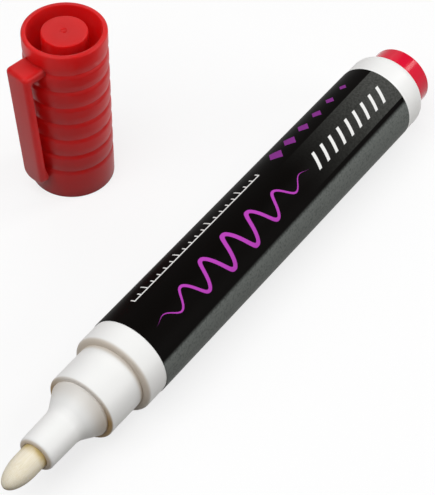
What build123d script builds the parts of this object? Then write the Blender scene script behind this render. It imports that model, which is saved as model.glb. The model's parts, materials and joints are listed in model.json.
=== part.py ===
from build123d import *
import math
import os

# A valve-action marker with its cap off. Sizes are in millimetres.
# The pen lies along X, nib towards -X, with the origin on its axis at the barrel's front face,
# where the cap's rim stops. The cap stands beside it on its open end, on the same floor.

# Clearances
press_gap = 0.01
running_gap = 0.05
nib_gap = 0.07
valve_gap = 0.08
lash = 0.1
ball_gap = 0.2
loose_gap = 0.5

# Barrel and its label
barrel_d = 16.8
barrel_wall = 1.75
barrel_length = 95.4
barrel_front_edge = 0.8
tail_shoulder = 2.6
collar_socket_depth = 15.0
chamber_wall = 2.1
tail_lip = 1.85
label_thickness = 0.1
label_start = 5.4
label_length = 83.5
label_seam = 0.4
label_seam_turn = -35.0

# Tail plug
plug_depth = 7.5
plug_reach = 4.6
plug_edge = 1.5
plug_crown = 0.35
plug_wall = 1.3

# Collar in front of the barrel
cap_step = 1.35
collar_reach = 9.2
collar_edge = 0.45
collar_spigot = 13.0
spigot_wall = 1.44
collar_lip = 0.95
seal_groove_width = 2.4
seal_groove_depth = 0.3
seal_groove_count = 3

# Nib holder: a tube on a flared cone, with a flange in the collar
holder_tip_d = 7.3
holder_root_d = 7.6
holder_tube = 8.5
holder_edge = 0.8
flare_length = 4.7
flare_blend = 4.0
flare_rim = 0.45
holder_flange_length = 5.6
ink_groove_count = 4
ink_groove_lip = 2.5
ink_groove_width = 0.7
ink_groove_depth = 0.4

# Fibre nib
nib_d = 5.1
nib_reach = 8.6
nib_bullet = 6.0
nib_tail_chamfer = 0.4
nib_tail_reach = 0.6

# Valve: seat insert, plunger, spring and cage
valve_front_gap = 1.5
seat_wall = 1.6
seat_hole_d = 3.5
seat_cone_d = 5.5
seat_cone_depth = 1.0
valve_wall = 1.19
valve_flange_gap = 0.2
valve_flange = 1.2
stem_head_d = 4.0
stem_head = 1.2
stem_rod_d = 2.0
poppet_d = 5.0
poppet_rim = 1.0
stem_tail_d = 1.8
stem_tail_over = 0.6
cage_inset = 6.2
cage_length = 10.0
cage_wall = 0.8
cage_end_wall = 1.0
cage_lip = 1.1
cage_flange = 1.0
cage_slot_count = 4
cage_slot_width = 1.6
cage_slot_margin = 0.4
spring_d = 3.8
spring_wire_d = 0.45
spring_turns = 7

# Mixing ball in the ink chamber
ball_d = 5.0

# Cap
cap_height = 37.0
cap_seat_extra = 0.8
cap_mid_wall = 1.9
cap_web_gap = 0.7
cap_web = 1.2
cap_top_wall = 1.0
cap_recess_wall = 1.5
cup_wall = 0.75
cup_lip_overlap = 6.6
boss_drop = 0.3
boss_wall = 1.2
boss_edge = 0.35
gate_mark_d = 1.5
gate_mark_depth = 0.2
gate_nub_d = 0.64
gate_nub_drop = 0.03
cap_rim_edge = 0.45
cap_mouth_edge = 0.35
groove_count = 7
groove_pitch = 4.2
groove_depth = 0.3
groove_over = 1.0
groove_under = 0.55
first_groove_drop = 4.8
cap_x = 45.5
cap_y = 44.3

# Pocket clip, one moulding with the cap
clip_turn = 170.0
clip_width = 5.8
clip_top_drop = 3.4
clip_bottom = 3.6
clip_bridge = 1.8
clip_thickness = 1.45
clip_top_reach = 4.6
clip_bottom_reach = 2.1
clip_tip_gap = 0.35
clip_tip_height = 2.4
clip_top_round = 1.0
clip_end_round = 2.3
clip_front_round = 0.9
clip_root_depth = 0.7

# Places along the pen that several pieces share
barrel_r = barrel_d / 2
label_r = barrel_r + label_thickness
floor_z = -label_r
socket_r = barrel_r - barrel_wall
chamber_r = barrel_r - chamber_wall
plug_r = barrel_r - tail_lip
collar_r = barrel_r - cap_step
spigot_r = socket_r - press_gap
spigot_bore_r = spigot_r - spigot_wall
flange_r = collar_r - collar_lip
valve_bore_r = spigot_bore_r - press_gap - valve_wall
nib_r = nib_d / 2
cap_r = barrel_r
collar_front = -collar_reach
flare_front = collar_front - flare_length
holder_front = flare_front - holder_tube
nib_front = holder_front - nib_reach
holder_back = collar_front + holder_flange_length
nib_back = holder_back + nib_tail_reach
seat_front = valve_front_gap
seat_back = seat_front + seat_wall
valve_back = collar_spigot + valve_flange
stem_front = nib_back + lash
poppet_back = seat_back + poppet_rim
cage_front = seat_back + cage_inset
cage_back = cage_front + cage_length
plug_seat = barrel_length - plug_depth
tail_end = barrel_length + plug_reach


def profile(points, rounds=()):
    """Closed flat face through the points, with some corners rounded."""
    face = make_face(Polyline(*points, close=True))
    for corner, radius in rounds:
        face = fillet(face.vertices().sort_by_distance(corner)[0], radius)
    return face


def turned(points, rounds=()):
    """Solid of revolution about the pen's axis; the points are (along, radius)."""
    return revolve(profile(points, rounds), Axis.X)


def around_axis(shape, count):
    """The shape and its copies, evenly spaced round the pen's axis."""
    return [Rot(X=360 / count * i) * shape for i in range(count)]


def make_barrel():
    """Tube with a stepped bore, a rounded front edge and a rounded tail shoulder."""
    rise = math.sqrt(tail_shoulder**2 - (tail_shoulder - tail_lip) ** 2)
    shoulder_start = barrel_length - rise
    turn = math.acos((tail_shoulder - tail_lip) / tail_shoulder) / 2
    middle = (
        shoulder_start + tail_shoulder * math.sin(turn),
        barrel_r - tail_shoulder * (1 - math.cos(turn)),
    )
    inside = Polyline(
        (barrel_length, plug_r),
        (plug_seat, plug_r),
        (plug_seat, chamber_r),
        (collar_socket_depth, chamber_r),
        (collar_socket_depth, socket_r),
        (0, socket_r),
        (0, barrel_r),
        (shoulder_start, barrel_r),
    )
    shoulder = ThreePointArc((shoulder_start, barrel_r), middle, (barrel_length, plug_r))
    face = make_face(inside.edges() + [shoulder])
    face = fillet(face.vertices().sort_by_distance((0, barrel_r))[0], barrel_front_edge)
    return revolve(face, Axis.X)


def make_label():
    """Printed film round the barrel, with a narrow butt seam low on its back."""
    wrap = Cylinder(label_r, label_length) - Cylinder(barrel_r, label_length)
    seam = Pos(Y=label_r) * Box(label_seam, label_r, label_length)
    film = Pos(X=label_start + label_length / 2) * (Rot(Y=90) * (wrap - seam))
    return Rot(X=label_seam_turn) * film


def make_tail_plug():
    """Hollow press-in plug with a crowned, round-edged end."""
    outer_r = plug_r - press_gap
    inner_r = outer_r - plug_wall
    edge_x = tail_end - plug_crown
    body = Polyline(
        (edge_x, outer_r),
        (plug_seat, outer_r),
        (plug_seat, inner_r),
        (barrel_length, inner_r),
        (barrel_length, 0),
        (tail_end, 0),
    )
    crown = ThreePointArc(
        (tail_end, 0), (tail_end - plug_crown / 4, outer_r / 2), (edge_x, outer_r)
    )
    face = make_face(body.edges() + [crown])
    face = fillet(face.vertices().sort_by_distance((edge_x, outer_r))[0], plug_edge)
    return revolve(face, Axis.X)


def make_front_collar():
    """Collar that the cap slides over, with a grooved spigot pressed into the barrel."""
    collar = turned(
        [
            (collar_front, flange_r),
            (collar_front, collar_r),
            (0, collar_r),
            (0, spigot_r),
            (collar_spigot, spigot_r),
            (collar_spigot, spigot_bore_r),
            (holder_back, spigot_bore_r),
            (holder_back, flange_r),
        ],
        [((collar_front, collar_r), collar_edge)],
    )
    step = collar_spigot / seal_groove_count
    groove_r = spigot_r - seal_groove_depth
    groove = Rot(Y=90) * (
        Cylinder(collar_r, seal_groove_width) - Cylinder(groove_r, seal_groove_width)
    )
    for i in range(seal_groove_count):
        collar -= Pos(X=step * (i + 0.5)) * groove
    return collar


def make_nib_holder():
    """Mouthpiece: nib tube, flared cone and flange, with ink grooves along its bore."""
    bore_r = nib_r + nib_gap
    seat_r = flange_r - press_gap
    holder = turned(
        [
            (holder_front, bore_r),
            (holder_front, holder_tip_d / 2),
            (flare_front, holder_root_d / 2),
            (collar_front - flare_rim, seat_r),
            (holder_back, seat_r),
            (holder_back, bore_r),
        ],
        [
            ((holder_front, holder_tip_d / 2), holder_edge),
            ((flare_front, holder_root_d / 2), flare_blend),
        ],
    )
    start = holder_front + ink_groove_lip
    length = holder_back - start
    groove = Pos(start + length / 2, 0, bore_r) * Box(
        length, ink_groove_width, 2 * ink_groove_depth
    )
    return holder - around_axis(groove, ink_groove_count)


def make_nib():
    """Fibre rod with a bullet point, half an ellipse in outline."""
    bullet_back = nib_front + nib_bullet
    point = EllipticalCenterArc((bullet_back, 0), nib_bullet, nib_r, 90, arc_size=90)
    rod = Polyline(
        (nib_front, 0),
        (nib_back, 0),
        (nib_back, nib_r - nib_tail_chamfer),
        (nib_back - nib_tail_chamfer, nib_r),
        (bullet_back, nib_r),
    )
    return revolve(make_face(rod.edges() + [point]), Axis.X)


def make_valve_body():
    """Seat insert: a cup pressed into the collar, with a conical seat round its hole."""
    outer_r = spigot_bore_r - press_gap
    flange = socket_r - valve_flange_gap
    return turned(
        [
            (seat_front, seat_hole_d / 2),
            (seat_front, outer_r),
            (collar_spigot, outer_r),
            (collar_spigot, flange),
            (valve_back, flange),
            (valve_back, valve_bore_r),
            (seat_back, valve_bore_r),
            (seat_back, seat_cone_d / 2),
            (seat_back - seat_cone_depth, seat_hole_d / 2),
        ]
    )


def make_valve_stem():
    """Plunger: push head, rod, sealing cone, spring rim and guided tail."""
    rod_r = stem_rod_d / 2
    poppet_r = poppet_d / 2
    tail_r = stem_tail_d / 2
    slope = (seat_cone_d - seat_hole_d) / 2 / seat_cone_depth
    cone_back = seat_back + valve_gap - (seat_cone_d / 2 - poppet_r) / slope
    cone_front = cone_back - (poppet_r - rod_r) / slope
    tail_back = cage_back + stem_tail_over
    return turned(
        [
            (stem_front, 0),
            (stem_front, stem_head_d / 2),
            (stem_front + stem_head, stem_head_d / 2),
            (stem_front + stem_head, rod_r),
            (cone_front, rod_r),
            (cone_back, poppet_r),
            (poppet_back, poppet_r),
            (poppet_back, tail_r),
            (tail_back, tail_r),
            (tail_back, 0),
        ]
    )


def make_spring_cage():
    """Slotted cup that snaps into the seat insert and carries the spring's back end."""
    outer_r = valve_bore_r - press_gap
    inner_r = outer_r - cage_wall
    flange = valve_bore_r + cage_lip
    floor_x = cage_back - cage_end_wall
    cage = turned(
        [
            (cage_front, inner_r),
            (cage_front, outer_r),
            (valve_back, outer_r),
            (valve_back, flange),
            (valve_back + cage_flange, flange),
            (valve_back + cage_flange, outer_r),
            (cage_back, outer_r),
            (cage_back, stem_tail_d / 2 + valve_gap),
            (floor_x, stem_tail_d / 2 + valve_gap),
            (floor_x, inner_r),
        ]
    )
    slot_start = valve_back + cage_flange + cage_slot_margin
    slot_length = floor_x - slot_start
    slot = Pos(slot_start + slot_length / 2, 0, flange / 2) * Box(
        slot_length, cage_slot_width, flange
    )
    return cage - around_axis(slot, cage_slot_count)


def helix_point(start, pitch, radius, turn):
    """Point and unit direction on a helix about X, after so many turns."""
    angle = math.tau * turn
    point = Vector(start + pitch * turn, radius * math.cos(angle), radius * math.sin(angle))
    along = Vector(
        pitch, -math.tau * radius * math.sin(angle), math.tau * radius * math.cos(angle)
    )
    return point, along.normalized()


def biarc(start, along_start, end, along_end):
    """Two arcs that meet smoothly and leave and reach the ends in the given directions."""
    chord = end - start
    both = along_start + along_end
    bend = 2 * (1 - along_start.dot(along_end))
    reach = chord.dot(both)
    arm = (math.sqrt(reach**2 + bend * chord.dot(chord)) - reach) / bend
    middle = (start + along_start * arm + end - along_end * arm) / 2
    first = TangentArc(start, middle, tangent=along_start)
    return [first, TangentArc(middle, end, tangent=first % 1)]


def make_valve_spring():
    """Steel wire coil between the plunger's rim and the cage's end wall."""
    wire_r = spring_wire_d / 2
    start = poppet_back + lash + wire_r
    end = cage_back - cage_end_wall - press_gap - wire_r
    pitch = (end - start) / spring_turns
    radius = spring_d / 2
    print("spring gap between turns", round(pitch - spring_wire_d, 3))
    quarters = [helix_point(start, pitch, radius, i / 4) for i in range(4 * spring_turns + 1)]
    edges = []
    for (p, along), (q, along_q) in zip(quarters, quarters[1:]):
        edges += biarc(p, along, q, along_q)
    point, along = quarters[0]
    section = Plane(origin=point, z_dir=along) * Circle(wire_r)
    return sweep(section, path=Wire(edges))


def make_mixing_ball():
    """Steel ball lying on the chamber wall, halfway along its run."""
    ball_r = ball_d / 2
    drop = chamber_r - ball_r - ball_gap
    front = cage_back + stem_tail_over + ball_r + loose_gap
    back = plug_seat - ball_r - loose_gap
    print("ball run", round(front, 3), round(back, 3))
    return Pos((front + back) / 2, 0, -drop) * Sphere(ball_r)


def cap_profile():
    """Half section of the cap as (radius, height): sleeve, web, sealing cup and boss."""
    mouth_r = collar_r + running_gap
    mid_r = cap_r - cap_mid_wall
    cup_r = holder_root_d / 2 + running_gap
    cup_outer = cup_r + cup_wall
    mouth_top = collar_reach + cap_seat_extra
    web_bottom = -holder_front + cap_web_gap
    web_top = web_bottom + cap_web
    boss_top = cap_height - boss_drop
    lip = -flare_front + (holder_tube - cup_lip_overlap)
    outline = [
        (cap_r, 0),
        (mouth_r, 0),
        (mouth_r, mouth_top),
        (mid_r, mouth_top),
        (mid_r, web_bottom),
        (cup_outer, web_bottom),
        (cup_outer, lip),
        (cup_r, lip),
        (cup_r, boss_top - boss_wall),
        (0, boss_top - boss_wall),
        (0, boss_top),
        (cup_outer, boss_top),
        (cup_outer, web_top),
        (cap_r - cap_recess_wall, web_top),
        (cap_r - cap_top_wall, cap_height),
        (cap_r, cap_height),
    ]
    for i in range(groove_count):
        valley = cap_height - first_groove_drop - groove_pitch * i
        outline += [
            (cap_r, valley + groove_over),
            (cap_r - groove_depth, valley),
            (cap_r, valley - groove_under),
        ]
    rounds = [
        ((cap_r, cap_height), cap_rim_edge),
        ((cap_r, 0), cap_mouth_edge),
        ((cup_outer, boss_top), boss_edge),
    ]
    return profile(outline, rounds)


def make_clip():
    """Pocket clip: a bridge out of the cap's wall and a plate that leans in to a round end."""
    root = cap_r - clip_root_depth
    top = cap_height - clip_top_drop
    outer_top = cap_r + clip_top_reach
    outer_low = cap_r + clip_bottom_reach
    tip = cap_r + clip_tip_gap
    lean = (outer_top - outer_low) / (top - clip_bottom)
    under = top - clip_bridge
    inner_top = outer_top - lean * clip_bridge - clip_thickness
    knee = clip_bottom + 2 * clip_tip_height
    inner_low = outer_low + lean * (knee - clip_bottom) - clip_thickness
    side = profile(
        [
            (root, top),
            (outer_top, top),
            (outer_low, clip_bottom),
            (tip, clip_bottom),
            (tip, clip_bottom + clip_tip_height),
            (inner_low, knee),
            (inner_top, under),
            (root, under),
        ],
        [
            ((outer_top, top), clip_top_round),
            ((inner_top, under), clip_top_round),
        ],
    )
    half = clip_width / 2
    front = profile(
        [(-half, clip_bottom), (half, clip_bottom), (half, top), (-half, top)],
        [((-half, clip_bottom), clip_end_round), ((half, clip_bottom), clip_end_round)],
    )
    clip = extrude(Plane.XZ * side, half, both=True) & extrude(Plane.YZ * front, outer_top)
    plate = clip.faces().filter_by(GeomType.PLANE).sort_by(Axis.X)[-1]
    return fillet(plate.edges().sort_by(Axis.Z)[:-1], clip_front_round)


def make_cap():
    """Cap standing on its open end beside the pen."""
    cap = revolve(Plane.XZ * cap_profile(), Axis.Z)
    boss_top = cap_height - boss_drop
    mark = Pos(Z=boss_top) * Cylinder(gate_mark_d / 2, 2 * gate_mark_depth)
    nub = Pos(Z=boss_top - gate_nub_drop - gate_mark_depth) * Cylinder(
        gate_nub_d / 2, 2 * gate_mark_depth
    )
    cap = cap - mark + nub
    cap += Rot(Z=clip_turn) * make_clip()
    return Pos(cap_x, cap_y, floor_z) * cap


pieces = {
    "barrel": make_barrel,
    "label": make_label,
    "tail_plug": make_tail_plug,
    "front_collar": make_front_collar,
    "nib_holder": make_nib_holder,
    "nib": make_nib,
    "valve_body": make_valve_body,
    "valve_stem": make_valve_stem,
    "valve_spring": make_valve_spring,
    "spring_cage": make_spring_cage,
    "mixing_ball": make_mixing_ball,
    "cap": make_cap,
}

os.makedirs("parts", exist_ok=True)
for name, make in pieces.items():
    export_step(make(), f"parts/{name}.step")
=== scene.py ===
"""Dresses a valve-action marker pen and its pocket cap.

Each sub-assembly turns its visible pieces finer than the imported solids, gives them their finish and
sets them on the body that carries them. Sizes in the classes are millimetres.
"""

import json
import logging
import math
from dataclasses import dataclass
from enum import Enum
from typing import Any, Sequence

import bmesh
import bpy
from bmesh.types import BMEdge, BMesh, BMFace, BMVert
from bpy.types import Material, NodeSocket, NodeTree, Object
from mathutils import Matrix, Vector


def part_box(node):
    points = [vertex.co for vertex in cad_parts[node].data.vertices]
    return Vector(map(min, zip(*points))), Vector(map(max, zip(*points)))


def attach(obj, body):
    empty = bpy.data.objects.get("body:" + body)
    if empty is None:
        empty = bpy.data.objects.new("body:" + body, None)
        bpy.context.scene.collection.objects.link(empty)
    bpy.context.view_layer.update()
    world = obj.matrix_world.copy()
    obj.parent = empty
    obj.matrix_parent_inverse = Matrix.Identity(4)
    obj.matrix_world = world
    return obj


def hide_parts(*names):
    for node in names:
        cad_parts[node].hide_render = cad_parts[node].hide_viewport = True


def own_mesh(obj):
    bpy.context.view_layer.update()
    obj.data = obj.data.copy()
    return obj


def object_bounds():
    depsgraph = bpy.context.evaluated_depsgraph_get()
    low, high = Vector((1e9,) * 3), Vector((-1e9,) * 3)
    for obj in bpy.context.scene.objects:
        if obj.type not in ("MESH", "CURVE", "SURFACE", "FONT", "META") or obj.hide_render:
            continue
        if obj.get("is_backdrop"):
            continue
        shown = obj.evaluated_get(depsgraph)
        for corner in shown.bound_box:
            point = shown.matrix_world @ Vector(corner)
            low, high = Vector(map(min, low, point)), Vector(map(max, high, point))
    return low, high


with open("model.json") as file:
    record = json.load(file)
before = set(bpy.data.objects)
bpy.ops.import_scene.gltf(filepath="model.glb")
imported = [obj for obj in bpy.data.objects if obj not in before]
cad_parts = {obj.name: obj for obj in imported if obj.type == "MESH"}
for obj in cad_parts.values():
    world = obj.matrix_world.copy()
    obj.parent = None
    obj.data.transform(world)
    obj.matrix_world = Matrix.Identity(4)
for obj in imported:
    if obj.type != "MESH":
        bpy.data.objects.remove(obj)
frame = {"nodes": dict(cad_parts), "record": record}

log = logging.getLogger("marker_pen")

MM = 0.001
ORIGIN = (0, 0, 0)
PHOTO_SIZE = (435, 495)
SHARP_ANGLE = math.radians(38)
SPIN_STEPS = 144
ARC_STEPS = 16
ROUND_STEPS = 6
# What a press fit leaves open on each side, in millimetres
PRESS_GAP = 0.01
# Points nearer than this many metres are one
SAME_PLACE = 1e-6
# A colour Mix node keeps its factor, its two colours and its result at these places
FACTOR, GROUND, COAT, RESULT = 0, 6, 7, 2
SHADER = "Principled BSDF"


def linear(code: str) -> tuple[float, float, float, float]:
    """Turns an sRGB hex value into Blender's linear colour.

    Args:
        code: six hex digits after a hash sign.

    Returns:
        Red, green, blue and an alpha of 1.
    """
    parts = [int(code[i : i + 2], 16) / 255 for i in (1, 3, 5)]
    red, green, blue = (c / 12.92 if c <= 0.04045 else ((c + 0.055) / 1.055) ** 2.4 for c in parts)
    return red, green, blue, 1.0


def add(tree: NodeTree, kind: str, links: dict[Any, Any], out: int | str = 0, **settings: Any) -> NodeSocket:
    """Adds one node with its settings, values and links.

    Args:
        tree: the node tree that takes it.
        kind: the node's type name without ShaderNode in front.
        links: input name or place, to a value or to the output that feeds it.
        out: name or place of the output that is wanted.
        settings: properties of the node itself.

    Returns:
        That output.
    """
    node = tree.nodes.new(f"ShaderNode{kind}")
    for name, value in settings.items():
        setattr(node, name, value)
    for name, value in links.items():
        if isinstance(value, NodeSocket):
            tree.links.new(value, node.inputs[name])
        else:
            node.inputs[name].default_value = value
    return node.outputs[out]


def per_mm(size: float) -> float:
    """Texture scale whose features are about that many millimetres across."""
    return 1 / (size * MM)


class Spindle(Enum):
    """The axis that a turned piece is spun about."""

    PEN = (1.0, 0.0, 0.0)
    CAP = (0.0, 0.0, 1.0)

    def place(self, along: float, radius: float, foot: Sequence[float] = ORIGIN) -> Vector:
        """Point in the frame of a corner that lies along the spindle from its foot."""
        side = Vector((0, 0, 1)) if self is Spindle.PEN else Vector((1, 0, 0))
        return Vector(foot) + (Vector(self.value) * along + side * radius) * MM


@dataclass(frozen=True)
class Corner:
    """A corner of a turned outline.

    Attributes:
        along: place along the spindle.
        radius: distance from the spindle.
        reach: how far its rounding runs back along both sides, or 0 for a sharp corner.
    """

    along: float
    radius: float
    reach: float = 0.0


def arc(centre: tuple[float, float], size: tuple[float, float], turns: tuple[float, float]) -> list[Corner]:
    """Corners along a stretch of an ellipse.

    Args:
        centre: the ellipse's middle, along the spindle and out from it.
        size: its half axes in the same order.
        turns: first and last angle in degrees, counted from along towards out.

    Returns:
        The corners in order, ends included.
    """
    first, last = (math.radians(turn) for turn in turns)
    angles = [first + (last - first) * i / ARC_STEPS for i in range(ARC_STEPS + 1)]
    return [Corner(centre[0] + size[0] * math.cos(a), centre[1] + size[1] * math.sin(a)) for a in angles]


def to_object(name: str, shape: BMesh) -> Object:
    """Closes a shape's seams, turns its faces outwards and makes it an object.

    Args:
        name: name of the piece.
        shape: the finished bmesh, which is freed.

    Returns:
        The linked object, smooth apart from its sharp edges.
    """
    bmesh.ops.remove_doubles(shape, verts=shape.verts, dist=SAME_PLACE)
    bmesh.ops.recalc_face_normals(shape, faces=shape.faces)
    mesh = bpy.data.meshes.new(name)
    shape.to_mesh(mesh)
    shape.free()
    mesh.shade_smooth()
    mesh.set_sharp_from_angle(angle=SHARP_ANGLE)
    piece = bpy.data.objects.new(name, mesh)
    bpy.context.scene.collection.objects.link(piece)
    return piece


def outline_wire(points: Sequence[Vector], reaches: Sequence[float], closed: bool) -> BMesh:
    """Wire through the points with its corners rounded by bevels.

    Args:
        points: the corners in order.
        reaches: how far each rounding reaches, in millimetres.
        closed: whether the last point joins the first.

    Returns:
        A bmesh that holds only the wire.
    """
    shape = bmesh.new()
    corners = [shape.verts.new(point) for point in points]
    followers = corners[1:] + corners[:1] if closed else corners[1:]
    for corner, follower in zip(corners, followers):
        shape.edges.new((corner, follower))
    for corner, reach in zip(corners, reaches):
        if reach:
            bmesh.ops.bevel(
                shape, geom=[corner], offset=reach * MM, segments=ROUND_STEPS, profile=0.5,
                affect="VERTICES", clamp_overlap=True, material=-1,
            )
    return shape


def spin(
    shape: BMesh, spindle: Spindle, foot: Sequence[float], angle: float, steps: int, rise: float = 0.0
) -> None:
    """Spins all of a shape about a spindle, and joins the ends of a full turn.

    Args:
        shape: the bmesh to spin.
        spindle: the axis.
        foot: a point on the axis.
        angle: how far to spin.
        steps: in how many steps.
        rise: how far each step climbs along the axis, in metres.
    """
    bmesh.ops.spin(
        shape, geom=[*shape.verts, *shape.edges, *shape.faces], cent=foot, axis=spindle.value,
        dvec=Vector(spindle.value) * rise, angle=angle, steps=steps, use_merge=angle == math.tau,
    )


def turned(
    name: str, outline: Sequence[Corner], spindle: Spindle = Spindle.PEN, foot: Sequence[float] = ORIGIN
) -> Object:
    """Spins an outline a full turn.

    Args:
        name: name of the piece.
        outline: its half section; one that starts and ends on the spindle stays open there.
        spindle: the axis to spin about.
        foot: the point of the frame that the outline's sizes count from.

    Returns:
        The closed piece.
    """
    closed = outline[0].radius > 0
    points = [spindle.place(c.along, c.radius, foot) for c in outline]
    shape = outline_wire(points, [c.reach for c in outline], closed)
    spin(shape, spindle, foot, math.tau, SPIN_STEPS)
    return to_object(name, shape)


def round_edges(shape: BMesh, edges: Sequence[BMEdge], reach: float, segments: int) -> None:
    """Rounds edges of a shape and brings its normals up to date.

    Args:
        shape: the bmesh that holds them.
        edges: the edges to round.
        reach: how far the rounding runs back on both sides, in millimetres.
        segments: how many steps it takes.
    """
    bmesh.ops.bevel(
        shape, geom=edges, offset=reach * MM, segments=segments, profile=0.5,
        affect="EDGES", clamp_overlap=True, material=-1,
    )
    shape.normal_update()


def settle(piece: Object, finish: Material, body: str, slot: str, *nodes: str) -> None:
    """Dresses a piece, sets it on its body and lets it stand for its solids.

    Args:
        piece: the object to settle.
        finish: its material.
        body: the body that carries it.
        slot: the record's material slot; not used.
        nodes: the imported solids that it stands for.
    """
    piece.data.materials.append(finish)
    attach(piece, body)
    if nodes:
        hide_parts(*nodes)
    log.info("%s rides on %s, %d faces", piece.name, body, len(piece.data.polygons))


@dataclass(frozen=True)
class Finish:
    """What every finish shares.

    Attributes:
        name: the material's name.
        colour: its main colour.
        roughness: how far it scatters what it reflects.
        ior: its refractive index; a metal keeps this default.
        gloss: how strongly it mirrors, where 0.5 is what its refractive index gives.
        glow: share of the light that goes in and comes out beside where it went in.
        glow_reach: how far the finish's own colour travels so.
        swing: how far its grain swings the roughness to either side.
        depth: height of its grain.
        metallic: 1 for a metal.
    """

    name: str
    colour: str
    roughness: float
    ior: float = 1.5
    gloss: float = 0.5
    glow: float = 0.0
    glow_reach: float = 2.0
    swing: float = 0.05
    depth: float = 0.001
    metallic: float = 0.0

    def begin(self) -> tuple[Material, NodeSocket]:
        """Starts a material with the values that are the same all over.

        Returns:
            The material and its object coordinates.
        """
        material = bpy.data.materials.new(self.name)
        material.use_nodes = True
        tree = material.node_tree
        inputs = tree.nodes[SHADER].inputs
        inputs["Metallic"].default_value = self.metallic
        inputs["IOR"].default_value = self.ior
        inputs["Specular IOR Level"].default_value = self.gloss
        inputs["Subsurface Weight"].default_value = self.glow
        inputs["Subsurface Radius"].default_value = linear(self.colour)[:3]
        inputs["Subsurface Scale"].default_value = self.glow_reach * MM
        return material, add(tree, "TexCoord", {}, out="Object")

    def complete(
        self, material: Material, coats: Sequence[tuple[NodeSocket, str]], grain: NodeSocket
    ) -> Material:
        """Lays coats over the main colour, and lets a grain vary the gloss and raise the surface.

        Args:
            material: what begin has started.
            coats: masks and the colours they let through, in the order of laying.
            grain: a noise between 0 and 1.

        Returns:
            The finished material.
        """
        tree = material.node_tree
        colour: Any = linear(self.colour)
        for mask, coat in coats:
            links = {FACTOR: mask, GROUND: colour, COAT: linear(coat)}
            colour = add(tree, "Mix", links, out=RESULT, data_type="RGBA")
        limits = {"To Min": self.roughness - self.swing, "To Max": self.roughness + self.swing}
        dull = add(tree, "MapRange", {"Value": grain, **limits})
        bump = add(tree, "Bump", {"Height": grain, "Distance": self.depth * MM})
        for name, source in {"Base Color": colour, "Roughness": dull, "Normal": bump}.items():
            tree.links.new(source, tree.nodes[SHADER].inputs[name])
        return material


@dataclass(frozen=True)
class Crevice:
    """A step round the pen where grime settles and shade is painted.

    Attributes:
        place: its place along X.
        reach: how far the grime and painted shade run from there along X.
        upper: how much of it there is on the pen's upper side.
        lower: how much on the side that the pen lies on, where the painted shade is darker towards the
            bottom.
    """

    place: float
    reach: float
    upper: float
    lower: float


@dataclass(frozen=True)
class MouldedPlastic(Finish):
    """Injection-moulded plastic: cloudy flow, a fine eroded skin, and grime with painted shade in its
    crevices.

    Attributes:
        cloud: colour of the flow marks.
        flow: size of the flow marks.
        skin: size of the mould's grain; a real one is about 0.1 mm, drawn coarser so that it shows.
        grime_and_shade: colour of the grime and painted shade in crevices.
        crevices: where they lie.
    """

    ior: float = 1.49
    depth: float = 0.004
    cloud: str = "#FFFFFF"
    flow: float = 7.0
    skin: float = 0.35
    grime_and_shade: str = "#A5844E"
    crevices: tuple[Crevice, ...] = ()

    def make(self) -> Material:
        """Builds the material.

        Returns:
            The moulded plastic.
        """
        material, where = self.begin()
        tree = material.node_tree
        flow = add(tree, "TexNoise", {"Vector": where, "Scale": per_mm(self.flow), "Detail": 3.0})
        coats = [(flow, self.cloud)]
        along, _, up = add(tree, "SeparateXYZ", {"Vector": where}).node.outputs
        # Heights between which the upper side's grime and painted shade turn into the lower side's, which is
        # painted darker
        high, low = 6.0, 0.5
        sides = {"Value": up, "From Min": high * MM, "From Max": low * MM}
        for crevice in self.crevices:
            shares = {"To Min": crevice.upper, "To Max": crevice.lower}
            amount = add(tree, "MapRange", {**sides, **shares})
            end = crevice.place + crevice.reach
            ends = {"From Min": crevice.place * MM, "From Max": end * MM, "To Min": amount, "To Max": 0.0}
            # Painted shade with grime: strongest at the step, fading along X, darker towards the bottom
            shade = add(tree, "MapRange", {"Value": along, **ends}, interpolation_type="SMOOTHERSTEP")
            coats.append((shade, self.grime_and_shade))
        skin = add(tree, "TexNoise", {"Vector": where, "Scale": per_mm(self.skin), "Detail": 4.0})
        return self.complete(material, coats, skin)


@dataclass(frozen=True)
class FibreNib(Finish):
    """Bonded polyester fibre, ground to a bullet: long fibres, and an ink stain at its root.

    Attributes:
        shadow: colour between the fibres.
        fibre: spacing of the fibres; real ones are 0.02 mm, drawn coarser so that they show.
        fibre_run: length of a fibre's streak.
        stain: colour that dried ink leaves at the root.
        stain_reach: how far its blots run towards the point.
        root: place along X where the nib leaves its holder.
    """

    ior: float = 1.57
    swing: float = 0.08
    depth: float = 0.012
    shadow: str = "#DED2AF"
    fibre: float = 0.12
    fibre_run: float = 4.0
    stain: str = "#CBB06A"
    stain_reach: float = 2.6
    root: float = 0.0

    def make(self) -> Material:
        """Builds the material.

        Returns:
            The fibre.
        """
        material, where = self.begin()
        tree = material.node_tree
        gap_start, gap_full, gap_share = 0.6, 0.35, 0.5
        stain_start, stain_full, stain_share, blot = self.root - 0.6, self.root + 1.6, 0.9, 2.2
        across = per_mm(self.fibre)
        grid = {"Vector": where, "Scale": (per_mm(self.fibre_run), across, across)}
        streaks = add(tree, "Mapping", grid)
        fibres = add(tree, "TexNoise", {"Vector": streaks, "Scale": 1.0, "Detail": 3.0})
        levels = {"From Min": gap_start, "From Max": gap_full, "To Max": gap_share}
        gaps = add(tree, "MapRange", {"Value": fibres, **levels})
        along = add(tree, "SeparateXYZ", {"Vector": where}, out="X")
        blots = add(tree, "TexNoise", {"Vector": where, "Scale": per_mm(blot), "Detail": 2.0})
        edge = add(tree, "Math", {0: blots, 1: self.stain_reach * MM, 2: along}, operation="MULTIPLY_ADD")
        ends = {"From Min": stain_start * MM, "From Max": stain_full * MM, "To Max": stain_share}
        wet = add(tree, "MapRange", {"Value": edge, **ends}, interpolation_type="SMOOTHSTEP")
        return self.complete(material, [(gaps, self.shadow), (wet, self.stain)], fibres)


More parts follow.
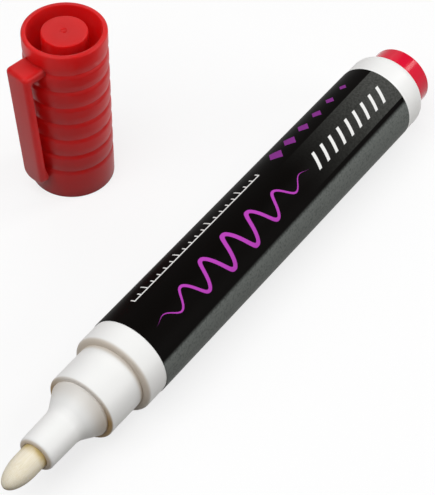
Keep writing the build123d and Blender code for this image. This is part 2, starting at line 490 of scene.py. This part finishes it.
@dataclass(frozen=True)
class FilmPrint:
    """What is printed on the film, drawn as masks over places in millimetres.

    Attributes:
        tree: the material's tree.
        along: distance from the film's front edge.
        around: distance round the film from the pen's upper side towards -Y.
    """

    tree: NodeTree
    along: NodeSocket
    around: NodeSocket

    def band(
        self, value: NodeSocket, limits: tuple[float, float], within: NodeSocket | float = 1.0,
        soft: float = 0.06,
    ) -> NodeSocket:
        """Masks the places where a value lies between two limits.

        Args:
            value: what is tested, in millimetres.
            limits: lower and upper limit.
            within: another mask, whose places it keeps to.
            soft: half the width of the mask's edges.

        Returns:
            The mask.
        """
        edges = {}
        for i, limit in enumerate(limits):
            ramp = {"Value": value, "From Min": limit - soft, "From Max": limit + soft, "To Max": within}
            edges[i] = add(self.tree, "MapRange", ramp, interpolation_type="SMOOTHSTEP")
        return add(self.tree, "Math", edges, operation="SUBTRACT")

    def wave(self) -> NodeSocket:
        """Draws the wave's line, which swells and thins out to a point at both ends.

        Returns:
            The line's mask.
        """
        first, last, height, wavelength, level, stroke, edge = 3.0, 54.0, 3.0, 7.6, 3.9, 0.52, 0.06
        tree, along = self.tree, self.along
        spread = {"Value": along, "From Min": first, "From Max": last, "To Min": -1.0, "To Max": 1.0}
        offset = add(tree, "MapRange", spread)
        fall = add(tree, "Math", {0: offset, 1: offset}, operation="MULTIPLY")
        swell = add(tree, "Math", {0: fall, 1: -height, 2: height}, operation="MULTIPLY_ADD")
        phase = add(tree, "Math", {0: along, 1: math.tau / wavelength}, operation="MULTIPLY")
        sine = add(tree, "Math", {0: phase}, operation="SINE")
        cosine = add(tree, "Math", {0: phase}, operation="COSINE")
        crest = add(tree, "Math", {0: sine, 1: swell, 2: level}, operation="MULTIPLY_ADD")
        tilt = add(tree, "Math", {0: cosine, 1: swell}, operation="MULTIPLY")
        slope = add(tree, "Math", {0: tilt, 1: math.tau / wavelength}, operation="MULTIPLY")
        steep = add(tree, "Math", {0: slope, 1: slope, 2: 1.0}, operation="MULTIPLY_ADD")
        stretch = add(tree, "Math", {0: steep}, operation="SQRT")
        away = add(tree, "Math", {0: self.around, 1: crest}, operation="SUBTRACT")
        distance = add(tree, "Math", {0: away, 1: stretch}, operation="DIVIDE")
        width = add(tree, "Math", {0: swell, 1: stroke / height}, operation="MULTIPLY")
        gap = add(tree, "Math", {0: distance}, operation="ABSOLUTE")
        inside = add(tree, "Math", {0: width, 1: gap}, operation="SUBTRACT")
        return self.band(inside, (edge, height))

    def bars(self) -> NodeSocket:
        """Draws a row of slanted bars behind the wave.

        Returns:
            The bars' mask.
        """
        pitch, half_bar, slant, first, last, sides = 2.9, 0.42, 0.45, 20, 28, (2.2, 5.6)
        lean = {0: self.around, 1: slant, 2: self.along}
        leaning = add(self.tree, "Math", lean, operation="MULTIPLY_ADD")
        ripple = add(self.tree, "Math", {0: leaning, 1: pitch / 2}, operation="PINGPONG")
        stripes = self.band(ripple, (-half_bar, half_bar))
        run = self.band(leaning, ((first - 0.5) * pitch, (last + 0.5) * pitch), stripes)
        return self.band(self.around, sides, run)

    def diamonds(self) -> NodeSocket:
        """Draws a row of diamonds beside the bars, each smaller than the one before.

        Returns:
            The diamonds' mask.
        """
        pitch, first, last, level, largest, smallest = 4.8, 11, 16, -3.7, 1.8, 0.9
        tree = self.tree
        ahead = add(tree, "Math", {0: self.along, 1: pitch / 2}, operation="ADD")
        centre = add(tree, "Math", {0: ahead, 1: pitch}, operation="SNAP")
        reach = 0.0
        for spot, middle in ((self.along, centre), (self.around, level)):
            away = add(tree, "Math", {0: spot, 1: middle}, operation="SUBTRACT")
            gap = add(tree, "Math", {0: away}, operation="ABSOLUTE")
            reach = add(tree, "Math", {0: gap, 1: reach}, operation="ADD")
        ends = {"From Min": first * pitch, "From Max": last * pitch}
        size = add(tree, "MapRange", {"Value": centre, **ends, "To Min": largest, "To Max": smallest})
        inside = add(tree, "Math", {0: size, 1: reach}, operation="SUBTRACT")
        row = self.band(centre, ((first - 0.5) * pitch, (last + 0.5) * pitch))
        return self.band(inside, (0.0, pitch), row)

    def scale(self) -> NodeSocket:
        """Draws a ruled line with short and long ticks.

        Returns:
            The scale's mask.
        """
        first, last, level, half_line = 6.0, 46.0, -3.0, 0.14
        mark = self.band(self.around, (level - half_line, level + half_line))
        for spacing, tall in ((2.0, 1.0), (10.0, 1.9)):
            ripple = add(self.tree, "Math", {0: self.along, 1: spacing / 2}, operation="PINGPONG")
            tick = self.band(ripple, (-half_line, half_line))
            ticks = self.band(self.around, (level - tall, level), tick)
            mark = add(self.tree, "Math", {0: mark, 1: ticks}, operation="MAXIMUM")
        return self.band(self.along, (first - half_line, last + half_line), mark)


@dataclass(frozen=True)
class PrintedFilm(Finish):
    """Black polypropylene film with a printed wave, bars, diamonds and a scale under a varnish.

    Attributes:
        radius: radius of the film's outer side.
        start: place along X of the film's front edge.
        charcoal: colour of the panel, which fades in towards the tail.
        painted_sheen: colour of the soft stripe low on the near side, a painted reflection.
        screen: size of the print's screen; a real one is 0.1 mm, drawn coarser so that it shows.
        purple: the wave's colour.
        plum: the colour of the diamonds.
        white: the colour of the bars and the scale.
    """

    ior: float = 1.49
    radius: float = 8.5
    start: float = 5.4
    charcoal: str = "#525350"
    painted_sheen: str = "#6F7370"
    screen: float = 0.45
    purple: str = "#B844B8"
    plum: str = "#8A3690"
    white: str = "#EDEDEB"

    def make(self) -> Material:
        """Builds the material.

        Returns:
            The printed film.
        """
        material, where = self.begin()
        tree = material.node_tree
        panel, panel_start, panel_full = (0.1, 8.6), 48.0, 96.0
        stripe, stripe_soft = (9.9, 18.6), 0.55
        least, gain = 0.25, 1.4
        # The film sits slightly askew, so its tones drift round the pen by this much per millimetre
        drift = 0.0145
        x, y, z = add(tree, "SeparateXYZ", {"Vector": where}).node.outputs
        along = add(tree, "Math", {0: x, 1: 1 / MM, 2: -self.start}, operation="MULTIPLY_ADD")
        near = add(tree, "Math", {0: y, 1: -1.0}, operation="MULTIPLY")
        angle = add(tree, "Math", {0: near, 1: z}, operation="ARCTAN2")
        around = add(tree, "Math", {0: angle, 1: self.radius}, operation="MULTIPLY")
        askew = add(tree, "Math", {0: along, 1: drift, 2: around}, operation="MULTIPLY_ADD")
        grain = add(tree, "TexNoise", {"Vector": where, "Scale": per_mm(self.screen), "Detail": 3.0})
        grey = add(tree, "Math", {0: grain, 1: gain, 2: least}, operation="MULTIPLY_ADD")
        fade = {"Value": along, "From Min": panel_start, "From Max": panel_full, "To Max": grey}
        tint = add(tree, "MapRange", fade, interpolation_type="SMOOTHSTEP")
        sheet = FilmPrint(tree, along, around)
        coats = [
            (sheet.band(askew, panel, tint), self.charcoal),
            # The soft stripe low on the near side is a painted reflection
            (sheet.band(askew, stripe, grey, stripe_soft), self.painted_sheen),
            (sheet.diamonds(), self.plum),
            (sheet.wave(), self.purple),
            (sheet.bars(), self.white),
            (sheet.scale(), self.white),
        ]
        return self.complete(material, coats, grain)


@dataclass(frozen=True)
class DrawnSteel(Finish):
    """Bare steel with fine working marks.

    Attributes:
        bright: colour of the crests of its marks.
        marks: size of the marks; real ones are about 0.02 mm, drawn coarser so that they show.
    """

    metallic: float = 1.0
    swing: float = 0.06
    bright: str = "#D8D8D6"
    marks: float = 0.15

    def make(self) -> Material:
        """Builds the material.

        Returns:
            The steel.
        """
        material, where = self.begin()
        size = {"Vector": where, "Scale": per_mm(self.marks), "Detail": 2.0}
        marks = add(material.node_tree, "TexNoise", size)
        return self.complete(material, [(marks, self.bright)], marks)


@dataclass
class BarrelUnit:
    """Barrel, printed film and tail plug: what the hand holds."""

    radius: float = 8.4
    length: float = 95.4
    front_edge: float = 0.8
    shoulder: float = 2.6
    tail_lip: float = 1.85
    socket_radius: float = 6.65
    socket_depth: float = 15.0
    chamber_radius: float = 6.3
    plug_depth: float = 7.5
    plug_reach: float = 4.6
    plug_edge: float = 1.5
    plug_crown: float = 0.35
    plug_wall: float = 1.3
    film: float = 0.1
    film_start: float = 5.4
    film_length: float = 83.5
    seam: float = 0.12
    seam_turn: float = -35.0

    @property
    def plug_hole(self) -> float:
        """Radius of the barrel's tail hole."""
        return self.radius - self.tail_lip

    @property
    def plug_seat(self) -> float:
        """Place along X of the step that the plug stops on."""
        return self.length - self.plug_depth

    def build_barrel(self) -> Object:
        """Turns the barrel with its stepped bore and round tail shoulder.

        Returns:
            The barrel.
        """
        turn = math.degrees(math.acos(1 - self.tail_lip / self.shoulder))
        rise = self.shoulder * math.sin(math.radians(turn))
        centre = (self.length - rise, self.radius - self.shoulder)
        outline = [
            Corner(0, self.socket_radius),
            Corner(0, self.radius, self.front_edge),
            *arc(centre, (self.shoulder, self.shoulder), (90, 90 - turn)),
            Corner(self.plug_seat, self.plug_hole),
            Corner(self.plug_seat, self.chamber_radius),
            Corner(self.socket_depth, self.chamber_radius),
            Corner(self.socket_depth, self.socket_radius),
        ]
        return turned("barrel_tube", outline)

    def build_film(self) -> Object:
        """Wraps the film round the barrel and leaves its seam a hair open.

        Returns:
            The film.
        """
        start, end = self.film_start, self.film_start + self.film_length
        inner, outer = self.radius, self.radius + self.film
        corners = ((start, inner), (start, outer), (end, outer), (end, inner))
        points = [Spindle.PEN.place(*corner) for corner in corners]
        shape = outline_wire(points, [0] * len(points), closed=True)
        bmesh.ops.contextual_create(shape, geom=shape.edges)
        gap = self.seam / outer
        first = math.radians(self.seam_turn - 90) + gap / 2
        bmesh.ops.rotate(shape, verts=shape.verts, cent=ORIGIN, matrix=Matrix.Rotation(first, 3, "X"))
        spin(shape, Spindle.PEN, ORIGIN, math.tau - gap, SPIN_STEPS)
        return to_object("label_film", shape)

    def build_plug(self) -> Object:
        """Turns the hollow tail plug with its crowned end.

        Returns:
            The plug.
        """
        outer = self.plug_hole - PRESS_GAP
        tail = self.length + self.plug_reach
        crown_radius = (outer**2 + self.plug_crown**2) / (2 * self.plug_crown)
        lean = math.degrees(math.asin(outer / crown_radius))
        crown = arc((tail - crown_radius, 0), (crown_radius, crown_radius), (0, lean))
        rim = crown.pop()
        outline = [
            *crown,
            Corner(rim.along, rim.radius, self.plug_edge),
            Corner(self.plug_seat, outer),
            Corner(self.plug_seat, outer - self.plug_wall),
            Corner(self.length, outer - self.plug_wall),
            Corner(self.length, 0),
        ]
        return turned("tail_plug_shell", outline)

    def dress(self, white: Material, printed: Material, crimson: Material) -> None:
        """Builds and dresses the three pieces.

        Args:
            white: the barrel's finish.
            printed: the film's finish.
            crimson: the plug's finish.
        """
        settle(self.build_barrel(), white, "pen", "white_plastic", "barrel")
        settle(self.build_film(), printed, "pen", "label_film", "label")
        settle(self.build_plug(), crimson, "pen", "red_gloss", "tail_plug")


@dataclass
class FrontUnit:
    """Collar, nib holder and fibre nib."""

    collar_radius: float = 7.05
    collar_reach: float = 9.2
    collar_edge: float = 0.45
    spigot_radius: float = 6.64
    spigot_length: float = 13.0
    spigot_bore: float = 5.2
    flange_radius: float = 6.1
    flange_length: float = 5.6
    flare_length: float = 4.7
    flare_round: float = 1.0
    flare_rim: float = 0.45
    flare_edge: float = 0.1
    tube_length: float = 8.5
    tube_root: float = 3.8
    tube_tip: float = 3.65
    tube_edge: float = 0.8
    tube_inner_edge: float = 0.15
    nib_radius: float = 2.55
    nib_gap: float = 0.07
    nib_reach: float = 8.6
    nib_bullet: float = 6.0
    nib_tail_reach: float = 0.6
    nib_tail_chamfer: float = 0.4

    @property
    def holder_front(self) -> float:
        """Place along X of the nib tube's end."""
        return -self.collar_reach - self.flare_length - self.tube_length

    @property
    def holder_back(self) -> float:
        """Place along X of the holder's flange inside the collar."""
        return self.flange_length - self.collar_reach

    def build_collar(self) -> Object:
        """Turns the collar and the spigot behind it.

        Returns:
            The collar.
        """
        outline = [
            Corner(-self.collar_reach, self.flange_radius),
            Corner(-self.collar_reach, self.collar_radius, self.collar_edge),
            Corner(0, self.collar_radius),
            Corner(0, self.spigot_radius),
            Corner(self.spigot_length, self.spigot_radius),
            Corner(self.spigot_length, self.spigot_bore),
            Corner(self.holder_back, self.spigot_bore),
            Corner(self.holder_back, self.flange_radius),
        ]
        return turned("collar_sleeve", outline)

    def build_holder(self) -> Object:
        """Turns the nib tube, its flare and its flange.

        Returns:
            The nib holder.
        """
        bore = self.nib_radius + self.nib_gap
        seat = self.flange_radius - PRESS_GAP
        outline = [
            Corner(self.holder_front, bore, self.tube_inner_edge),
            Corner(self.holder_front, self.tube_tip, self.tube_edge),
            Corner(self.holder_front + self.tube_length, self.tube_root, self.flare_round),
            Corner(-self.collar_reach - self.flare_rim, seat, self.flare_edge),
            Corner(self.holder_back, seat),
            Corner(self.holder_back, bore),
        ]
        return turned("nib_holder_tube", outline)

    def build_nib(self) -> Object:
        """Turns the fibre rod with its bullet point.

        Returns:
            The nib.
        """
        point = self.holder_front - self.nib_reach
        shoulder = point + self.nib_bullet
        back = self.holder_back + self.nib_tail_reach
        outline = [
            Corner(point, 0),
            *arc((shoulder, 0), (self.nib_bullet, self.nib_radius), (180, 90))[1:],
            Corner(back - self.nib_tail_chamfer, self.nib_radius),
            Corner(back, self.nib_radius - self.nib_tail_chamfer),
            Corner(back, 0),
        ]
        return turned("nib_fibre", outline)

    def dress(self, sleeve: Material, mouthpiece: Material, fibre: Material) -> None:
        """Builds and dresses the three pieces.

        Args:
            sleeve: the collar's finish.
            mouthpiece: the holder's finish.
            fibre: the nib's finish.
        """
        settle(self.build_collar(), sleeve, "pen", "white_plastic", "front_collar")
        settle(self.build_holder(), mouthpiece, "pen", "white_plastic", "nib_holder")
        settle(self.build_nib(), fibre, "nib", "nib_fibre", "nib")


@dataclass
class ValveUnit:
    """What works inside the pen: the valve, its spring and the mixing ball."""

    wire_radius: float = 0.225
    coil_radius: float = 1.9
    turns: int = 7
    wire_sides: int = 12
    steps_per_turn: int = 32
    press: float = 2.2

    def build_spring(self) -> Object:
        """Winds the spring by a screwing spin of the wire's round section.

        Returns:
            The spring.
        """
        low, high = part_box("valve_spring")
        wire = self.wire_radius * MM
        run = high.x - low.x - 2 * wire
        steps = self.turns * self.steps_per_turn
        shape = bmesh.new()
        bmesh.ops.create_circle(shape, cap_ends=True, radius=wire, segments=self.wire_sides)
        upright = Matrix.Rotation(math.pi / 2, 3, "X")
        bmesh.ops.rotate(shape, verts=shape.verts, cent=ORIGIN, matrix=upright)
        bmesh.ops.translate(shape, verts=shape.verts, vec=(low.x + wire, 0, self.coil_radius * MM))
        spin(shape, Spindle.PEN, ORIGIN, math.tau * self.turns, steps, run / steps)
        return to_object("valve_spring_coil", shape)

    def dress(self, natural: Material, steel: Material, polished: Material) -> None:
        """Winds the spring and dresses the inner solids.

        Args:
            natural: finish of the moulded valve pieces.
            steel: the spring's finish.
            polished: the ball's finish.
        """
        spring = self.build_spring()
        settle(spring, steel, "pen", "spring_steel", "valve_spring")
        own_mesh(spring)
        inner = dict.fromkeys(("valve_body", "valve_stem", "spring_cage"), natural)
        for node, finish in {**inner, "mixing_ball": polished}.items():
            solid = frame["nodes"][node]
            solid.data.materials.clear()
            solid.data.materials.append(finish)
            log.info("%s keeps its solid", node)


@dataclass
class CapUnit:
    """The pocket cap that stands beside the pen on its open end."""

    radius: float = 8.4
    height: float = 37.0
    rim_edge: float = 0.45
    rim_inner_edge: float = 0.2
    mouth_radius: float = 7.1
    mouth_depth: float = 10.0
    mouth_edge: float = 0.35
    mid_radius: float = 6.5
    web_low: float = 23.1
    web_high: float = 24.3
    cup_radius: float = 3.85
    cup_outer: float = 4.6
    cup_lip: float = 15.8
    cup_round: float = 0.5
    boss_drop: float = 0.3
    boss_wall: float = 1.2
    boss_edge: float = 0.35
    gate_radius: float = 0.75
    gate_depth: float = 0.2
    gate_edge: float = 0.08
    gate_floor_edge: float = 0.1
    nub_radius: float = 0.32
    nub_drop: float = 0.03
    nub_foot_edge: float = 0.05
    top_wall: float = 1.0
    recess_wall: float = 1.5
    inner_edge: float = 0.3
    fine_edge: float = 0.15
    groove_count: int = 7
    groove_pitch: float = 4.2
    groove_depth: float = 0.3
    groove_over: float = 1.0
    groove_over_round: float = 0.8
    groove_under: float = 0.55
    groove_under_round: float = 0.4
    first_groove_drop: float = 4.8
    clip_turn: float = 170.0
    clip_width: float = 5.8
    clip_top_drop: float = 3.4
    clip_bottom: float = 3.6
    clip_bridge: float = 1.8
    clip_thickness: float = 1.45
    clip_top_reach: float = 4.6
    clip_bottom_reach: float = 2.1
    clip_tip_gap: float = 0.35
    clip_tip_height: float = 2.4
    clip_top_round: float = 1.0
    clip_end_round: float = 2.3
    clip_end_steps: int = 10
    clip_front_round: float = 0.9
    clip_back_round: float = 0.2
    clip_back_steps: int = 2
    clip_root_depth: float = 0.7

    def foot(self) -> Vector:
        """Finds the middle of the cap's open end on the floor, from its mount in the record.

        Returns:
            That point of the frame.
        """
        mounts = {m["name"]: m for m in frame["record"]["mounts"]}
        x, y, _ = mounts["cap_mouth"]["pos_m"]
        return Vector((x, y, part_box("cap")[0].z))

    def grooves(self) -> list[Corner]:
        """Lays out the ring grooves.

        Returns:
            Their corners, from the top one down.
        """
        corners = []
        for i in range(self.groove_count):
            valley = self.height - self.first_groove_drop - self.groove_pitch * i
            corners += [
                Corner(valley + self.groove_over, self.radius, self.groove_over_round),
                Corner(valley, self.radius - self.groove_depth, self.fine_edge),
                Corner(valley - self.groove_under, self.radius, self.groove_under_round),
            ]
        return corners

    def build_shell(self) -> Object:
        """Turns the sleeve, its web, the sealing cup and the boss on top.

        Returns:
            The shell.
        """
        boss_top = self.height - self.boss_drop
        mark_floor = boss_top - self.gate_depth
        nub_top = boss_top - self.nub_drop
        cup_top = boss_top - self.boss_wall
        outline = [
            Corner(nub_top, 0),
            Corner(nub_top, self.nub_radius, self.gate_edge),
            Corner(mark_floor, self.nub_radius, self.nub_foot_edge),
            Corner(mark_floor, self.gate_radius, self.gate_floor_edge),
            Corner(boss_top, self.gate_radius, self.gate_edge),
            Corner(boss_top, self.cup_outer, self.boss_edge),
            Corner(self.web_high, self.cup_outer, self.inner_edge),
            Corner(self.web_high, self.radius - self.recess_wall, self.inner_edge),
            Corner(self.height, self.radius - self.top_wall, self.rim_inner_edge),
            Corner(self.height, self.radius, self.rim_edge),
            *self.grooves(),
            Corner(0, self.radius, self.mouth_edge),
            Corner(0, self.mouth_radius, self.fine_edge),
            Corner(self.mouth_depth, self.mouth_radius),
            Corner(self.mouth_depth, self.mid_radius),
            Corner(self.web_low, self.mid_radius, self.inner_edge),
            Corner(self.web_low, self.cup_outer, self.inner_edge),
            Corner(self.cup_lip, self.cup_outer, self.fine_edge),
            Corner(self.cup_lip, self.cup_radius, self.fine_edge),
            Corner(cup_top, self.cup_radius, self.cup_round),
            Corner(cup_top, 0),
        ]
        return turned("cap_shell", outline, Spindle.CAP, self.foot())

    def clip_side(self) -> list[Corner]:
        """Draws the clip from its side: a bridge out of the wall and a plate that leans in to its tip.

        Returns:
            The corners of that outline.
        """
        top = self.height - self.clip_top_drop
        outer_top = self.radius + self.clip_top_reach
        outer_low = self.radius + self.clip_bottom_reach
        tip = self.radius + self.clip_tip_gap
        root = self.radius - self.clip_root_depth
        lean = (outer_top - outer_low) / (top - self.clip_bottom)
        under = top - self.clip_bridge
        knee = self.clip_bottom + 2 * self.clip_tip_height
        return [
            Corner(top, root),
            Corner(top, outer_top, self.clip_top_round),
            Corner(self.clip_bottom, outer_low),
            Corner(self.clip_bottom, tip),
            Corner(self.clip_bottom + self.clip_tip_height, tip),
            Corner(knee, outer_low + lean * (knee - self.clip_bottom) - self.clip_thickness),
            Corner(under, outer_top - lean * self.clip_bridge - self.clip_thickness, self.clip_top_round),
            Corner(under, root),
        ]

    def clip_rim(self, shape: BMesh, faces: set[BMFace]) -> list[BMEdge]:
        """Finds the edges that bound some of the clip's faces.

        Args:
            shape: the clip.
            faces: the faces in question.

        Returns:
            Their outer edges, apart from those inside the cap's wall.
        """
        wall = self.radius * MM
        outside = [e for e in shape.edges if max(v.co.x for v in e.verts) > wall]
        return [e for e in outside if len(faces.intersection(e.link_faces)) == 1]

    def build_clip(self) -> Object:
        """Gives the clip's side outline its width, then rounds its end and its edges.

        Returns:
            The clip.
        """
        side = self.clip_side()
        points = [Spindle.CAP.place(c.along, c.radius) for c in side]
        shape = outline_wire(points, [c.reach for c in side], closed=True)
        half = self.clip_width / 2 * MM
        bmesh.ops.translate(shape, verts=shape.verts, vec=(0, -half, 0))
        plate = bmesh.ops.contextual_create(shape, geom=shape.edges)["faces"]
        far = bmesh.ops.extrude_face_region(shape, geom=plate)["geom"]
        moved = [v for v in far if isinstance(v, BMVert)]
        bmesh.ops.translate(shape, verts=moved, vec=(0, 2 * half, 0))
        bmesh.ops.recalc_face_normals(shape, faces=shape.faces)
        bottom = self.clip_bottom * MM
        low = [e for e in shape.edges if all(abs(v.co.z - bottom) < SAME_PLACE for v in e.verts)]
        ends = [e for e in low if abs(e.verts[0].co.y - e.verts[1].co.y) < SAME_PLACE]
        round_edges(shape, ends, self.clip_end_round, self.clip_end_steps)
        # Shares of a face's normal that count as looking up, outwards or inwards, and sideways
        up, out, aside = 0.9, 0.05, 0.1
        across = [f for f in shape.faces if abs(f.normal.y) < aside]
        front = {f for f in across if f.normal.x > out or f.normal.z > up}
        round_edges(shape, self.clip_rim(shape, front), self.clip_front_round, ROUND_STEPS)
        back = {f for f in shape.faces if f.normal.x < -out and abs(f.normal.y) < aside}
        round_edges(shape, self.clip_rim(shape, back), self.clip_back_round, self.clip_back_steps)
        turn = Matrix.Rotation(math.radians(self.clip_turn), 3, "Z")
        bmesh.ops.rotate(shape, verts=shape.verts, cent=ORIGIN, matrix=turn)
        bmesh.ops.translate(shape, verts=shape.verts, vec=self.foot())
        return to_object("cap_clip", shape)

    def dress(self, red: Material) -> None:
        """Builds and dresses the cap and its clip in the red finish."""
        settle(self.build_shell(), red, "cap", "red_satin", "cap")
        settle(self.build_clip(), red, "cap", "red_satin")


@dataclass(frozen=True)
class Lamp:
    """A square soft lamp that faces the pen.

    Attributes:
        name: the lamp's name.
        towards: the direction from the pen in which it hangs.
        size: the length of its side.
        level: how bright it makes a white card that faces it, where 1 is white.
    """

    name: str
    towards: tuple[float, float, float]
    size: float
    level: float


@dataclass
class Studio:
    """Pale cove, soft lamps and the camera at the photograph's angle."""

    azimuth: float = -55.0
    elevation: float = 46.1
    distance: float = 420.0
    target: tuple[float, float, float] = (37.4, 2.8, 0.0)
    focal_px: float = 2199.0
    sensor: float = 36.0
    cove_radius: float = 3000.0
    cove_height: float = 1600.0
    cove_round: float = 700.0
    cove_white: str = "#FAFAFA"
    cove_shade: str = "#4E463B"
    cove_roughness: float = 0.9
    cove_gloss: float = 0.1
    cove_glow: float = 0.76
    fill: float = 0.12
    lamp_distance: float = 700.0
    lamps: tuple[Lamp, ...] = (
        Lamp("key_softbox", (-0.46, 0.04, 0.88), 620, 0.76),
        Lamp("side_softbox", (0.36, -0.86, 0.34), 400, 0.37),
        Lamp("tail_softbox", (0.70, -0.35, 0.62), 190, 0.24),
        Lamp("back_softbox", (0.45, 0.5, 0.74), 620, 0.20),
    )

    def set_camera(self) -> None:
        """Looks at the pen from its nib end, from above."""
        lens = bpy.data.cameras.new("photo_camera")
        camera = bpy.data.objects.new("photo_camera", lens)
        bpy.context.scene.collection.objects.link(camera)
        turn, rise = math.radians(self.azimuth), math.radians(self.elevation)
        back = Vector((math.sin(turn) * math.cos(rise), -math.cos(turn) * math.cos(rise), math.sin(rise)))
        camera.location = (Vector(self.target) + back * self.distance) * MM
        camera.rotation_euler = (-back).to_track_quat("-Z", "Y").to_euler()
        lens.sensor_width = self.sensor
        lens.lens = self.sensor * self.focal_px / max(PHOTO_SIZE)
        bpy.context.scene.camera = camera

    def build_cove(self, height: float) -> None:
        """Builds the round cove: white card to the eye and in reflections, with the object's shadow on it.

        Args:
            height: where its floor lies, in metres.
        """
        outline = [
            Corner(0, 0),
            Corner(0, self.cove_radius, self.cove_round),
            Corner(self.cove_height, self.cove_radius),
        ]
        cove = turned("studio_cove", outline, Spindle.CAP, (0, 0, height))
        material = bpy.data.materials.new("white_card")
        material.use_nodes = True
        tree = material.node_tree
        paper = tree.nodes[SHADER]
        paper.inputs["Roughness"].default_value = self.cove_roughness
        paper.inputs["Specular IOR Level"].default_value = self.cove_gloss
        seen: Any = 0.0
        for ray in ("Camera", "Glossy", "Transmission"):
            path = add(tree, "LightPath", {}, out=f"Is {ray} Ray")
            seen = add(tree, "Math", {0: path, 1: seen}, operation="MAXIMUM")
        tones = {FACTOR: seen, GROUND: linear(self.cove_shade), COAT: linear(self.cove_white)}
        tone = add(tree, "Mix", tones, out=RESULT, data_type="RGBA")
        tree.links.new(tone, paper.inputs["Base Color"])
        share = add(tree, "Math", {0: seen, 1: self.cove_glow}, operation="MULTIPLY")
        glow = add(tree, "Emission", {})
        both = add(tree, "MixShader", {0: share, 1: paper.outputs["BSDF"], 2: glow})
        tree.links.new(both, tree.nodes["Material Output"].inputs["Surface"])
        cove.data.materials.append(material)
        cove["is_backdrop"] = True

    def set_world(self) -> None:
        """Fills the studio with a dim, even light."""
        world = bpy.data.worlds.new("studio_world")
        bpy.context.scene.world = world
        world.use_nodes = True
        sky = world.node_tree.nodes["Background"]
        sky.inputs["Color"].default_value = (1, 1, 1, 1)
        sky.inputs["Strength"].default_value = self.fill

    def hang(self, lamp: Lamp) -> None:
        """Hangs a lamp.

        Args:
            lamp: which one.
        """
        light = bpy.data.lights.new(lamp.name, "AREA")
        light.shape = "SQUARE"
        light.size = lamp.size * MM
        light.energy = lamp.level * (math.pi * self.lamp_distance * MM) ** 2
        box = bpy.data.objects.new(lamp.name, light)
        bpy.context.scene.collection.objects.link(box)
        out = Vector(lamp.towards).normalized()
        box.location = (Vector(self.target) + out * self.lamp_distance) * MM
        box.rotation_euler = (-out).to_track_quat("-Z", "Y").to_euler()

    def dress(self, height: float) -> None:
        """Sets the cove, the world, the lamps and the camera.

        Args:
            height: the floor's height in metres.
        """
        self.build_cove(height)
        self.set_world()
        for lamp in self.lamps:
            self.hang(lamp)
        self.set_camera()
        bpy.context.scene.view_settings.view_transform = "Standard"
        log.info("studio is set")


def main() -> None:
    """Builds the pen, the cap and the studio in order."""
    logging.basicConfig(level=logging.INFO, format="%(name)s: %(message)s")
    cad_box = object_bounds()
    barrel, front = BarrelUnit(), FrontUnit()
    mouth, step = front.holder_front, -front.collar_reach
    # Polypropylene, injection moulded in a lightly eroded tool: a satin white that looks faintly cloudy,
    # with painted shade and some ink and dust in the steps between barrel, collar and mouthpiece, darker
    # towards the bottom
    white = {"colour": "#F0F0EF", "roughness": 0.4, "gloss": 0.3, "cloud": "#F6F6F4"}
    crevices = {
        "barrel": (Crevice(0.0, 1.0, 0.5, 0.5),),
        "collar": (Crevice(0.0, -1.3, 0.4, 0.55), Crevice(step, 0.5, 0.3, 1.0)),
        "mouthpiece": (Crevice(step, -4.0, 0.18, 0.5), Crevice(mouth, 0.5, 0.4, 0.65)),
    }
    barrel_white, sleeve_white, mouthpiece_white = (
        MouldedPlastic(f"polypropylene_white_{piece}", crevices=places, **white).make()
        for piece, places in crevices.items()
    )
    # Polypropylene film, printed and varnished: deep black with a low sheen
    printed = PrintedFilm(
        "polypropylene_film_printed", "#0A0807", 0.42, gloss=0.015, start=barrel.film_start
    ).make()
    # Polystyrene, polished mould: a wet-looking crimson
    crimson = MouldedPlastic(
        "polystyrene_crimson", "#D81030", 0.15, ior=1.59, gloss=0.13, depth=0.003, cloud="#DE1638", skin=2.5
    ).make()
    # Polypropylene, satin red with faint clouds where the melt met
    red = MouldedPlastic(
        "polypropylene_red", "#D61A1C", 0.38, gloss=0.22, glow=0.9, glow_reach=9.0, cloud="#DE2222", flow=5.0
    ).make()
    # Bonded polyester fibre: matt, finely streaked along the nib, and lets some light in
    fibre = FibreNib(
        "polyester_fibre", "#F1E9D7", 0.8, gloss=0.2, glow=0.5, glow_reach=1.5, root=mouth
    ).make()
    # Polyethylene without pigment: milky and dull
    natural = MouldedPlastic("polyethylene_natural", "#E2E1DA", 0.5, ior=1.51, cloud="#EBEAE4").make()
    # Stainless spring wire: grey, with fine drawing marks
    steel = DrawnSteel("stainless_wire", "#A8A8A6", 0.3).make()
    # Ground and polished ball steel: a mirror with a faint haze
    polished = DrawnSteel("ball_steel", "#BFBFBF", 0.1, marks=0.5).make()
    barrel.dress(barrel_white, printed, crimson)
    front.dress(sleeve_white, mouthpiece_white, fibre)
    ValveUnit().dress(natural, steel, polished)
    CapUnit().dress(red)
    Studio().dress(cad_box[0].z)


if __name__ == "__main__":
    main()
